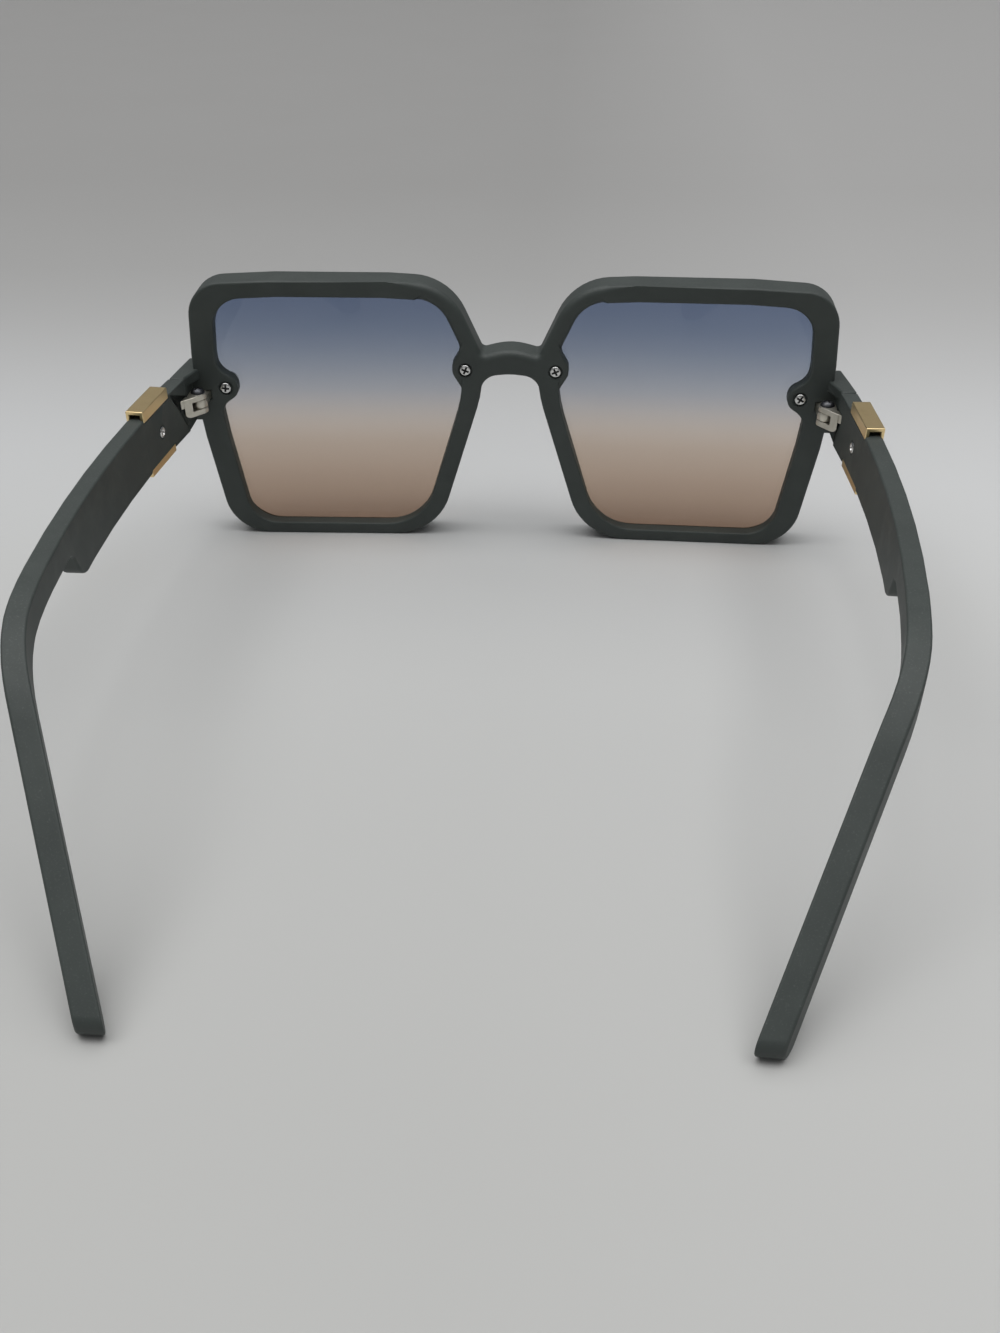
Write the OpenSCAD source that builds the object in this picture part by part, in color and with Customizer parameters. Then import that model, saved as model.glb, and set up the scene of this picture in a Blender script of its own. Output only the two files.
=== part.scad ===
// Square sunglasses with a flat moulded front, screwed-in gradient lenses and two folding temples.
// They stand as worn: +Z up, the front faces -Y, the temples run back along +Y, the wearer's left is +X.
// The rims and the temple tips rest on z = 0. Outlines of the front are drawn as [x, z, corner radius].

/* [Lens opening] */
// Distance between the two lens openings at the nose
bridge_w = 21.8; // [20:0.1:26]
// Widest part of one lens opening
lens_w = 55.1; // [48:0.1:60]
// Height of one lens opening at its crown
lens_h = 55.6; // [46:0.1:60]
// Rise of the crown over the opening's upper corners
crown_rise = 1.1; // [0.4:0.1:2]
// How far the nose side leans in from the nose to the cheek
nose_taper = 10; // [6:0.1:12]
// Height of the opening at which the nose side starts to lean
nose_knee = 32.5; // [26:0.1:34]
// How far the nose side slopes back between the nose and the brow
brow_slope = 5; // [3:0.1:6]
// Height of that slope
brow_h = 11; // [8:0.1:13]
// How far the outer side leans in below its widest point
side_taper = 4; // [1:0.1:6]
// How far the outer side leans in above its widest point
side_lean = 0.8; // [0:0.1:2]
// Corner radius at the brow
brow_r = 8; // [5:0.5:9]
// Corner radius at the temple
temple_corner_r = 7; // [3:0.1:8]
// Corner radius at the outer cheek
cheek_r = 7; // [4:0.5:9]
// Corner radius at the inner cheek
nose_r = 12; // [7:0.5:14]

/* [Front] */
// Depth of the front from its rear face to its front face
rim_depth = 7; // [5.5:0.1:9]
// Width of the rim over the lens
rail_top = 3.7; // [2.6:0.1:4]
// Width of the rim beside the temple
rail_outer = 5.3; // [5:0.1:7]
// Width of the rim under the lens
rail_bottom = 2.8; // [2.6:0.1:4]
// Width of the rim beside the nose, above the knee
rail_nose = 4.6; // [4:0.1:4.8]
// Width of the rim beside the nose, below the knee
rail_cheek = 4; // [3.4:0.1:4.8]
// Width of the rim along the brow slope
rail_brow = 3.7; // [2.6:0.1:4]
// Angle by which each half of the front wraps back
wrap_angle = 1.6; // [0:0.1:4]
// Height of the bridge's top edge over the opening's lower edge
bridge_top = 43.1; // [41:0.1:45]
// Height of the bridge at its middle
bridge_h = 5.1; // [3.6:0.1:6]
// Radius of the bridge's top edge
bridge_top_r = 22; // [16:0.5:22]
// Slope of the bridge's top edge beside that radius
bridge_slope = 14; // [8:1:14]
// Radius of the bridge's underside
bridge_under_r = 21; // [16:0.5:22]
// Slope of the underside beside that radius
bridge_under_slope = 8; // [6:0.5:10]
// Radius where the underside turns down to the rims
bridge_root_r = 4; // [2.5:0.1:4.2]
// Radius where the top edge meets the rims
bridge_notch_r = 1.2; // [0.5:0.1:2]

/* [Nose pads] */
// How far a nose pad stands out behind the rim
nose_pad_h = 1.5; // [0.8:0.1:2.4]
// Length of a nose pad along the rim
nose_pad_l = 26; // [18:0.5:30]
// Distance of a nose pad's middle below the knee of the nose side
nose_pad_at = 8; // [5:0.5:10]
// Slope of the face that lies on the nose
nose_pad_angle = 25; // [18:1:35]

/* [Lenses] */
// Thickness of a lens
lens_t = 2; // [1.6:0.1:2.4]
// Depth of the lens behind the front's rear face
lens_inset = 3.2; // [2.6:0.1:3.6]
// Width of the ledge that a lens rests on
lens_seat = 1.5; // [1:0.1:1.8]
// Gap around a lens in its recess
lens_gap = 0.1; // [0.05:0.05:0.3]

/* [Lens screws] */
// Height of the inner screws over the opening's lower edge
inner_screw_z = 39; // [38:0.1:40]
// Distance of an inner screw from the opening's edge
inner_screw_in = 0.8; // [0.6:0.1:1.2]
// Height of the outer screws over the opening's lower edge
outer_screw_z = 34.3; // [31:0.1:36]
// Distance of an outer screw from the opening's edge
outer_screw_in = 1.4; // [1:0.1:1.8]
// Radius of a lens screw's head
screw_head_r = 1.25; // [1.1:0.05:1.4]
// Height of that head
screw_head_h = 0.75; // [0.6:0.05:0.9]
// Radius of a lens screw's shank
screw_r = 0.7; // [0.5:0.05:0.8]
// Depth of the sinking that a screw head sits in
sink_depth = 0.5; // [0.3:0.05:0.7]
// Radius of a lens nut
nut_r = 1.9; // [1.6:0.05:2.2]
// Height of a lens nut
nut_h = 1.3; // [1:0.05:1.5]

/* [Screw pads] */
// How far an inner pad reaches into the lens opening
inner_pad_in = 2.1; // [1.7:0.1:2.4]
// Half height of an inner pad where it leaves the rim
inner_pad_root = 4.6; // [4:0.1:5]
// Half height of an inner pad at its end
inner_pad_tip = 1.1; // [0.8:0.1:1.6]
// Corner radius of an inner pad's end
inner_pad_r = 2.6; // [1.5:0.1:3]
// Radius where an inner pad flows into the rim
inner_pad_flare = 3; // [1.5:0.1:3.4]
// How far an outer pad reaches beyond its screw
outer_pad_in = 2.7; // [2.1:0.1:2.8]
// Half height of an outer pad where it leaves the rim
outer_pad_root = 4.5; // [4:0.1:5]
// Half height of an outer pad at its end
outer_pad_tip = 1.7; // [1.4:0.1:2]
// Corner radius of an outer pad's end
outer_pad_r = 2.8; // [1.5:0.1:3]
// Radius where an outer pad flows into the rim
outer_pad_flare = 3.8; // [1.5:0.1:4]

/* [End pieces] */
// Height of the temples' upper edge
temple_top = 41.6; // [40:0.1:43]
// Height of a temple at its hinge
temple_h = 12.2; // [11:0.1:14]
// Distance of the seam behind the front's rear face
seam_y = 8; // [7.6:0.1:9]
// Gap between an end piece and its temple
seam_gap = 0.2; // [0.1:0.05:0.4]
// How far an end piece's front corner stands out beside the rim
end_corner = 2.7; // [1.5:0.1:2.8]
// Length of the bevel that runs back from there to the seam
end_bevel_l = 6; // [3:0.1:8]
// Depth of that bevel at its front end
end_bevel = 0.6; // [0.2:0.1:1]
// How far the web above the hinge reaches in over the rim
end_web_in = 1.2; // [0.8:0.1:1.3]

/* [Hinges] */
// Distance of the hinge screws behind the front's rear face
hinge_y = 6; // [5.6:0.1:6.4]
// Radius of a hinge knuckle
knuckle_r = 1.9; // [1.7:0.05:2]
// Height of the front's knuckle
tongue_h = 1.8; // [1.4:0.1:2.2]
// Height of the temple's hinge block
block_h = 4.5; // [4.2:0.1:5]
// Gap over and under the front's knuckle
knuckle_gap = 0.1; // [0.05:0.01:0.15]
// Radius of the slot that the front's knuckle turns in
slot_r = 3.4; // [2.8:0.1:3.6]
// Angle of the block's rear face
block_angle = 48; // [42:1:52]
// Height of the arm that leads from the block into the temple
hinge_arm_h = 2; // [1.6:0.1:2.4]
// Radius of a hinge screw's shank
hinge_pin_r = 0.9; // [0.7:0.01:1]
// Radial gap of the hinge screw in the temple's block
pin_fit = 0.02; // [0.02:0.01:0.05]
// Radial gap of the hinge screw in the front's knuckle
pin_run = 0.06; // [0.03:0.01:0.1]
// Gap between a knuckle and the end piece's inner face
knuckle_clear = 0.2; // [0.15:0.05:0.4]
// Radius of a hinge screw's head
hinge_head_r = 1.6; // [1.15:0.05:1.65]
// Height of that head
hinge_head_h = 1.1; // [0.7:0.05:1.2]
// Width of the front hinge's foot inside the rim
foot_w = 3.2; // [2.4:0.1:3.4]
// Height of that foot
foot_h = 5; // [4:0.1:7]
// Depth of both hinges' feet under the plastic's surface
foot_depth = 1; // [0.6:0.1:1.2]
// Thickness of both feet
foot_t = 1; // [0.7:0.1:1.1]
// Length of the foot inside the temple
leaf_l = 7; // [5:0.5:7.5]
// Height of that foot
leaf_h = 7; // [5:0.1:9]

/* [Temples] */
// Thickness of a temple at its hinge
temple_t = 3.5; // [3.3:0.1:4.2]
// Thickness of a temple at its tip
tip_t = 4.2; // [3.6:0.1:5]
// Angle at which a temple leaves the front outwards
flare_angle = 8.2; // [6:0.1:10]
// Radius of the long outward bow
bow_r = 345; // [320:5:400]
// Angle that the bow turns through
bow_angle = 15.4; // [13:0.1:16]
// Radius of the inward bend behind the ear
ear_r = 50; // [40:1:70]
// Angle that the inward bend turns through
ear_angle = 17.5; // [12:0.1:22]
// Distance from the front's rear face to the end of a tip
reach = 153; // [145:0.5:160]
// Distance from the front's rear face to the end of the broad part
broad_end = 73; // [60:0.5:85]
// Height of the slim arm behind the broad part
arm_h = 5.4; // [5:0.1:7]
// Angle at which the tip drops
drop_angle = 40; // [34:0.5:44]
// Radius of the bend into the drop, along the upper edge
drop_r = 40; // [30:1:46]
// Angle by which the right temple rests folded in from its stop
right_turn = 3.4; // [0:0.1:5]

/* [Clasps] */
// Length of a clasp along its temple
clasp_l = 13.5; // [10:0.5:15]
// Distance from the seam to the middle of a clasp
clasp_at = 15.2; // [14.5:0.1:19]
// How far a clasp stands proud of the temple's outer face
clasp_proud = 0.3; // [0.1:0.1:0.6]
// How far a clasp rises over the temple's upper edge
clasp_rise = 1.7; // [1.2:0.1:2]
// How far a clasp drops below the temple's lower edge
clasp_drop = 0.9; // [0.9:0.1:2]
// Thickness of a clasp's sheet
clasp_t = 0.8; // [0.6:0.05:0.85]
// How far a clasp's lips reach down the temple's inner face
lip_in = 0.8; // [0.3:0.1:1.2]
// Gap between a clasp and its seat
clasp_gap = 0.05; // [0.02:0.01:0.1]
// Distance from the seam to a clasp's pin
clasp_pin_at = 14.2; // [13:0.1:18]
// Radius of the pin that holds a clasp
clasp_pin_r = 0.7; // [0.5:0.05:0.9]
// Radius of that pin's head on the temple's inner face
clasp_head_r = 1.2; // [1:0.05:1.4]
// Height of that head over the inner face
clasp_head_h = 0.3; // [0.2:0.05:0.4]

/* [Hidden] */
$fn = 48;

frame_green = "#4d5652";
lens_brown = [0.72, 0.66, 0.66, 0.55];
screw_silver = "#b9b9b6";
hinge_nickel = "#a39d94";
screw_dark = "#3a3a3c";
clasp_gold = "#c9a24a";

arc_step = 7;
cut = 1;
crown_r = 250;
side_r = 90;
knee_r = 30;
widest_drop = 2;
crown_shift = 1;
crown_part = 1 / 6;

// The opening's corners, from the brow over the crown and round the outside back to the nose
x_nose = bridge_w / 2;
x_side = x_nose + lens_w;
z_low = rail_bottom;
z_top = z_low + lens_h;
z_knee = z_low + nose_knee;
z_brow = z_top - crown_rise - brow_h;
z_widest = z_low + outer_screw_z - widest_drop;
opening = [
  [x_nose + brow_slope, z_top - crown_rise, brow_r],
  [x_nose + lens_w / 2 + crown_shift, z_top + crown_rise * crown_part, crown_r],
  [x_side - side_lean, z_top - crown_rise, temple_corner_r],
  [x_side + side_lean, z_widest, side_r],
  [x_side - side_taper, z_low, cheek_r],
  [x_nose + nose_taper, z_low, nose_r],
  [x_nose, z_knee, knee_r],
  [x_nose, z_brow, brow_r]
];
// Width of the rim along each side of that outline, in the same order
rails = [rail_top, rail_top, rail_outer, rail_outer, rail_bottom, rail_cheek, rail_nose, rail_brow];

inner_screw = [x_nose - inner_screw_in, z_low + inner_screw_z];
outer_screw = [x_side - outer_screw_in, z_low + outer_screw_z];

lens_back = lens_inset;
lens_front = lens_inset + lens_t;
screw_hole_gap = 0.1;
thread_gap = 0.05;
sink_gap = 0.35;
sink_r = screw_head_r + sink_gap;
tab_wall = 1.1;
tab_r = nut_r + tab_wall;
cross_w = 0.42;
cross_depth = 0.45;
cross_part = 0.66;
nut_bevel = 0.4;
nut_roof = 0.3;
nut_play = 0.1;
pad_back = 1.5;
inner_pad_tail = 3;
outer_pad_tail = 4.4;
pad_ease = 0.1;
pad_lift = 0.2;

temple_low = temple_top - temple_h;
hinge_z = (temple_top + temple_low) / 2;
side_x = x_side + rail_outer;
face_step = 0.6;
inner_face_x = side_x + face_step;
hinge_x = inner_face_x - knuckle_clear - knuckle_r;
pin_hole_r = hinge_pin_r + pin_fit;
tongue_hole_r = hinge_pin_r + pin_run;
rear_y = hinge_x * sin(wrap_angle);
nose_lean = atan(nose_taper / nose_knee);
barrel_r = nose_pad_l * nose_pad_l / (8 * nose_pad_h) + nose_pad_h / 2;
leaf_at = 4.6;
block_front = 0.5;
arm_set = 0.2;
head_sink = 0.1;

end_root = 2;
end_set = 0.2;
end_fillet = 0.4;
end_web_gap = 0.3;
end_web_end = 1.1;
bridge_seat = 0.4;
bridge_lean = 1.09;
bridge_foot = 6.2;
bridge_hip = 0.19;
skin = 0.01;

temple_x = inner_face_x + temple_t / 2;
temple_y = seam_y + seam_gap / 2;
seam_slant = temple_t / 2 * tan(flare_angle);
arm_low = temple_top - arm_h;
tip_r = arm_h / 2;
step_run = 3;
step_top_r = 2.4;
step_low_r = 5;
center_y = (reach - rim_depth) / 2;

// Unit vector along a flat vector
function unit(v) = v / norm(v);
// Flat vector turned a quarter turn to the left
function left_of(v) = [-v[1], v[0]];
// Point of an outline without its radius
function spot(c) = [c[0], c[1]];

// A clockwise outline whose every side has moved out by its own distance
function grown(c, d, r) = [
  for (i = [0:len(c) - 1])
  let (
    before = spot(c[(i + len(c) - 1) % len(c)]),
    here = spot(c[i]),
    after = spot(c[(i + 1) % len(c)]),
    n1 = left_of(unit(here - before)),
    n2 = left_of(unit(after - here)),
    d1 = d[(i + len(c) - 1) % len(c)],
    d2 = d[i],
    turn = n1[0] * n2[1] - n1[1] * n2[0],
    x = (d1 * n2[1] - d2 * n1[1]) / turn,
    z = (d2 * n1[0] - d1 * n2[0]) / turn
  )
  [here[0] + x, here[1] + z, r[i]]
];

// Points of the arc that rounds one corner of an outline
function corner(a, b, c, r) =
  let (
    u = unit(spot(a) - spot(b)),
    v = unit(spot(c) - spot(b)),
    half = acos(max(-1, min(1, u * v))) / 2,
    reach_r = min(r / tan(half), 0.49 * norm(spot(a) - spot(b)), 0.49 * norm(spot(c) - spot(b))),
    true_r = reach_r * tan(half),
    side = left_of(u) * v > 0 ? -1 : 1,
    center = spot(b) + unit(u + v) * true_r / sin(half),
    start = spot(b) + u * reach_r - center,
    turn = 180 - 2 * half,
    steps = max(1, ceil(turn / arc_step))
  )
  [for (i = [0:steps]) let (t = side * turn * i / steps)
    center + [start[0] * cos(t) - start[1] * sin(t), start[0] * sin(t) + start[1] * cos(t)]];

// An outline with all its corners rounded
function rounded(c) = [
  for (i = [0:len(c) - 1])
  let (a = c[(i + len(c) - 1) % len(c)], b = c[i], d = c[(i + 1) % len(c)])
  each b[2] == 0 ? [spot(b)] : corner(a, b, d, b[2])
];

// Points and headings along an arc that bends inwards, seen from above
function bend(p, heading, r, turn, steps) = [
  for (i = [0:steps])
  let (h = heading - turn * i / steps)
  [p[0] + r * (cos(h) - cos(heading)), p[1] + r * (sin(heading) - sin(h)), h]
];
// Place and heading on a temple's bow, a given length behind its end
function on_bow(s) = bend([temple_x, temple_y], flare_angle, bow_r, s / bow_r * 180 / PI, 1)[1];

rim_radii = [13, crown_r, 8, side_r, 10, 14, 100, 4];
rim_outline = grown(opening, rails, rim_radii);
lens_outline = grown(opening, [for (c = opening) lens_seat], [for (c = opening) c[2] + lens_seat]);
recess_outline = grown(opening, [for (c = opening) lens_seat + lens_gap],
  [for (c = opening) c[2] + lens_seat + lens_gap]);

// Puts the assembly's middle over the origin
module placed() translate([0, -center_y, 0]) children();
// Draws the wearer's left half's shapes on the right
module mirrored() mirror([1, 0, 0]) children();
// Turns a half of the front back by the wrap angle
module wrapped() rotate([0, 0, wrap_angle]) children();
// Stands a flat outline up and gives it depth, from y = -start to y = -(start + depth)
module standing(start, depth) translate([0, -start, 0]) rotate([90, 0, 0]) linear_extrude(depth) children();
// A round rod along -Y, from y = -start
module rod(p, start, depth, r) standing(start, depth) translate(p) circle(r);
// Places the right temple's pieces in its rest position
module right_rest() {
  translate([-hinge_x, hinge_y, 0])
    rotate([0, 0, -right_turn])
      translate([hinge_x, -hinge_y, 0])
        mirrored() children();
}

// How far the opening's edge leans in at a height: along the brow, below the knee and at the cheek
function brow_in(z) = max(0, z - z_brow) * brow_slope / brow_h;
function knee_in(z) = max(0, z_knee - z) * nose_taper / nose_knee;
function cheek_in(z) = (z_widest - z) * (side_taper + side_lean) / (z_widest - z_low) - side_lean;

// The pad that carries a lens screw, with its flared root; x is the distance into the opening, and
// flow tells how far in its tails end, the lower one first
module pad_2d(tip, root_half, tip_half, tip_r, root_r, tail, flow) {
  polygon(rounded([
    [-pad_back, -root_half - tail, 0],
    [flow[0] - pad_ease, -root_half - tail, 0],
    [0, -root_half, root_r],
    [tip, -tip_half, tip_r],
    [tip, tip_half, tip_r],
    [0, root_half, root_r],
    [flow[1] - pad_ease, root_half + tail, 0],
    [-pad_back, root_half + tail, 0]
  ]));
}

module inner_pad_2d() {
  middle = inner_screw[1] + pad_lift;
  end = inner_pad_root + inner_pad_tail;
  translate([x_nose, middle])
    pad_2d(inner_pad_in, inner_pad_root, inner_pad_tip, inner_pad_r, inner_pad_flare, inner_pad_tail,
      [knee_in(middle - end), brow_in(middle + end)]);
}

module outer_pad_2d() {
  translate([x_side, outer_screw[1]]) mirror([1, 0])
    pad_2d(outer_screw_in + outer_pad_in, outer_pad_root, outer_pad_tip, outer_pad_r, outer_pad_flare,
      outer_pad_tail, [max(0, cheek_in(outer_screw[1] - outer_pad_root - outer_pad_tail)), 0]);
}

module rim_2d() {
  difference() {
    polygon(rounded(rim_outline));
    polygon(rounded(opening));
  }
}

// Half of the front before it is turned back
module half_front() {
  standing(0, rim_depth) {
    rim_2d();
    bridge_2d();
  }
  standing(0, lens_back + lens_t / 2) {
    inner_pad_2d();
    outer_pad_2d();
  }
  nose_pad();
}

// Stands at the knee of the nose side; z then runs up along the rim and x across it to the lens
module on_nose_rail() {
  translate([x_nose, 0, z_knee]) rotate([0, -nose_lean, 0]) children();
}

// The moulded nose pad: a crowned swelling of the rim with a slanted face towards the nose
module nose_pad() {
  difference() {
    intersection() {
      standing(-nose_pad_h, nose_pad_h + skin) intersection() {
        rim_2d();
        square([x_nose + nose_taper, z_knee + nose_pad_l]);
      }
      on_nose_rail() translate([0, nose_pad_h - barrel_r, -nose_pad_at]) rotate([0, 90, 0])
        cylinder(h = 4 * x_nose, r = barrel_r, center = true, $fn = 180);
    }
    on_nose_rail() translate([-rail_cheek, 0, 0]) rotate([0, 0, nose_pad_angle])
      translate([0, nose_pad_l, 0]) cube(2 * nose_pad_l, center = true);
  }
}

// The lens's recess and the screws' holes in one half
module lens_seats() {
  standing(lens_back, rim_depth) {
    polygon(rounded(recess_outline));
    translate(inner_screw) circle(tab_r + lens_gap);
  }
  for (p = [inner_screw, outer_screw]) {
    rod(p, -cut, cut + sink_depth, sink_r);
    rod(p, -cut, rim_depth, screw_r + screw_hole_gap);
  }
}

// The end piece beside the hinge, seen from above, and the web that joins it to the rim above the hinge
module end_piece() {
  front_edge = side_x * sin(wrap_angle) - rim_depth + end_set;
  rear_edge = side_x * sin(wrap_angle) + end_fillet;
  seam_front = seam_y - seam_gap / 2;
  outer_x = inner_face_x + temple_t;
  translate([0, 0, temple_low]) linear_extrude(temple_h) polygon([
    [side_x - end_root, front_edge],
    [side_x + end_corner, front_edge],
    [outer_x - end_bevel, seam_front - end_bevel_l],
    [outer_x, seam_front - seam_slant],
    [inner_face_x, seam_front + seam_slant],
    [inner_face_x, rear_edge],
    [side_x - end_root, rear_edge - 2 * end_fillet]
  ]);
  low = hinge_z + block_h / 2 + hinge_head_h + end_web_gap;
  translate([0, 0, low]) linear_extrude(temple_top - low) polygon([
    [side_x - end_web_in, rear_edge - 2 * end_fillet],
    [inner_face_x + end_root, rear_edge - 2 * end_fillet],
    [inner_face_x + end_root, seam_front - end_web_end],
    [inner_face_x, seam_front - end_web_end]
  ]);
}

// The bridge between the rims, with an arched top and a rounder arch below
module bridge_2d() {
  top = z_low + bridge_top;
  side = x_nose - rail_nose + skin;
  root = x_nose - bridge_seat;
  peak = top + bridge_top_r * (1 / cos(bridge_slope) - 1);
  arch = top - bridge_h + bridge_under_r * (1 / cos(bridge_under_slope) - 1);
  hip_x = side - bridge_hip;
  hip = arch - hip_x * tan(bridge_under_slope);
  foot = hip - bridge_foot;
  brow_low = spot(rim_outline[7]) + [skin, 0];
  brow = spot(rim_outline[0]) - spot(rim_outline[7]);
  notch_x = (peak - brow_low[1] + brow_low[0] * brow[1] / brow[0])
    / (brow[1] / brow[0] + tan(bridge_slope));
  notch_z = peak - notch_x * tan(bridge_slope);
  brow_end = brow_low + brow / 2;
  right = [
    [0, peak, bridge_top_r],
    [notch_x, notch_z, bridge_notch_r],
    [brow_end[0], brow_end[1], 0],
    [root, brow_end[1], 0],
    [root, foot, 0],
    [hip_x + bridge_lean, foot, 0],
    [hip_x, hip, bridge_root_r],
    [0, arch, bridge_under_r]
  ];
  left = [for (i = [len(right) - 2:-1:1]) [-right[i][0], right[i][1], right[i][2]]];
  polygon(rounded(concat(right, left)));
}

// Half of the front, turned back and cut off at the middle of the bridge
module turned_half() {
  intersection() {
    wrapped() half_front();
    translate([0, -2 * rim_depth, -cut]) cube([2 * side_x, 4 * rim_depth, 2 * z_top]);
  }
}

module front_frame() {
  color(frame_green) placed() {
    difference() {
      union() {
        turned_half();
        mirrored() turned_half();
        end_piece();
        mirrored() end_piece();
      }
      wrapped() lens_seats();
      mirrored() wrapped() lens_seats();
      front_anchor();
      mirrored() front_anchor();
    }
  }
}

module lens() {
  wrapped() difference() {
    union() {
      standing(lens_back, lens_t) polygon(rounded(lens_outline));
      rod(inner_screw, lens_back, lens_t, tab_r);
    }
    for (p = [inner_screw, outer_screw]) rod(p, 0, rim_depth, screw_r + screw_hole_gap);
  }
}

module left_lens() {
  color(lens_brown) placed() lens();
}

module right_lens() {
  color(lens_brown) placed() mirrored() lens();
}

// A cross-recessed screw that enters from the rear face
module lens_screw(p) {
  cross_l = 2 * cross_part * screw_head_r;
  wrapped() difference() {
    union() {
      rod(p, sink_depth - screw_head_h, screw_head_h, screw_head_r);
      rod(p, 0, lens_front + nut_h - nut_roof - nut_play, screw_r);
    }
    standing(sink_depth - screw_head_h - cut, cross_depth + cut) translate(p) {
      square([cross_l, cross_w], center = true);
      square([cross_w, cross_l], center = true);
    }
  }
}

module left_inner_lens_screw() {
  color(screw_silver) placed() lens_screw(inner_screw);
}

module left_outer_lens_screw() {
  color(screw_silver) placed() lens_screw(outer_screw);
}

module right_inner_lens_screw() {
  color(screw_silver) placed() mirrored() lens_screw(inner_screw);
}

module right_outer_lens_screw() {
  color(screw_silver) placed() mirrored() lens_screw(outer_screw);
}

// A round nut on the lens's front face, with a blind hole for the screw
module lens_nut(p) {
  wrapped() difference() {
    union() {
      rod(p, lens_front, nut_h - nut_bevel, nut_r);
      rod(p, lens_front, nut_h, nut_r - nut_bevel);
    }
    rod(p, lens_front - cut, cut + nut_h - nut_roof, screw_r + thread_gap);
  }
}

module left_inner_lens_nut() {
  color(screw_silver) placed() lens_nut(inner_screw);
}

module left_outer_lens_nut() {
  color(screw_silver) placed() lens_nut(outer_screw);
}

module right_inner_lens_nut() {
  color(screw_silver) placed() mirrored() lens_nut(inner_screw);
}

module right_outer_lens_nut() {
  color(screw_silver) placed() mirrored() lens_nut(outer_screw);
}

// The foot that is moulded into the rim and the arm that leaves it
module front_anchor() {
  translate([hinge_x - foot_w / 2, rear_y - foot_depth - foot_t, hinge_z - foot_h / 2])
    cube([foot_w, foot_t, foot_h]);
  translate([hinge_x - foot_w / 2, rear_y - foot_depth - foot_t, hinge_z - tongue_h / 2])
    cube([foot_w, hinge_y - rear_y + foot_depth + foot_t, tongue_h]);
}

// One knuckle on an arm from the rim
module front_hinge() {
  difference() {
    union() {
      front_anchor();
      translate([hinge_x, hinge_y, hinge_z - tongue_h / 2]) cylinder(h = tongue_h, r = knuckle_r);
    }
    translate([hinge_x, hinge_y, hinge_z - tongue_h]) cylinder(h = 2 * tongue_h, r = tongue_hole_r);
  }
}

module left_front_hinge() {
  color(hinge_nickel) placed() front_hinge();
}

module right_front_hinge() {
  color(hinge_nickel) placed() mirrored() front_hinge();
}

// The hinge screw drops in from above, with a domed head
module hinge_screw() {
  head_z = hinge_z + block_h / 2;
  dome_r = (hinge_head_r * hinge_head_r + hinge_head_h * hinge_head_h) / (2 * hinge_head_h);
  translate([hinge_x, hinge_y, 0]) {
    translate([0, 0, hinge_z - block_h / 2]) cylinder(h = block_h, r = hinge_pin_r);
    difference() {
      intersection() {
        translate([0, 0, head_z + hinge_head_h - dome_r]) sphere(dome_r);
        translate([0, 0, head_z]) cylinder(h = hinge_head_h + cut, r = hinge_head_r + cut);
      }
      for (a = [0, 90]) {
        translate([0, 0, head_z + hinge_head_h]) rotate([0, 0, a])
          cube([2 * cross_part * hinge_head_r, cross_w, 2 * cross_depth], center = true);
      }
    }
  }
}

module left_hinge_screw() {
  color(screw_dark) placed() hinge_screw();
}

module right_hinge_screw() {
  color(screw_dark) placed() right_rest() hinge_screw();
}

// Distance behind the front at which the block's slanted rear face passes a place across
function slant_y(x) = hinge_y + knuckle_r * cos(block_angle)
  + (x - hinge_x + knuckle_r * sin(block_angle)) * tan(block_angle);

// The foot moulded into the temple, the arm that leads to it and the block beside the temple
module temple_anchor() {
  at = on_bow(leaf_at);
  arm_start = hinge_x + knuckle_r / 2;
  arm_end = inner_face_x + foot_depth + foot_t;
  block_end = hinge_x + knuckle_r;
  translate([at[0], at[1], hinge_z]) rotate([0, 0, -at[2]])
    translate([-temple_t / 2 + foot_depth + foot_t / 2, 0, 0])
      cube([foot_t, leaf_l, leaf_h], center = true);
  translate([0, 0, hinge_z + block_h / 2 - hinge_arm_h]) linear_extrude(hinge_arm_h) polygon([
    [arm_start, temple_y + block_front],
    [arm_start, slant_y(arm_start) - arm_set],
    [arm_end, slant_y(arm_end) - arm_set],
    [arm_end, temple_y + block_front]
  ]);
  translate([0, 0, hinge_z - block_h / 2]) linear_extrude(block_h) polygon([
    [hinge_x, hinge_y],
    [hinge_x - knuckle_r * sin(block_angle), hinge_y + knuckle_r * cos(block_angle)],
    [block_end, slant_y(block_end)],
    [block_end, hinge_y]
  ]);
}

// The block around the hinge screw, slotted for the front's knuckle
module temple_hinge() {
  slot_h = tongue_h + 2 * knuckle_gap;
  difference() {
    union() {
      temple_anchor();
      translate([hinge_x, hinge_y, hinge_z - block_h / 2]) cylinder(h = block_h, r = knuckle_r);
    }
    translate([hinge_x, hinge_y, hinge_z - slot_h / 2]) cylinder(h = slot_h, r = slot_r);
    translate([hinge_x, hinge_y, hinge_z - block_h]) cylinder(h = 2 * block_h, r = pin_hole_r);
  }
}

module left_temple_hinge() {
  color(hinge_nickel) placed() temple_hinge();
}

module right_temple_hinge() {
  color(hinge_nickel) placed() right_rest() temple_hinge();
}

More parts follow.
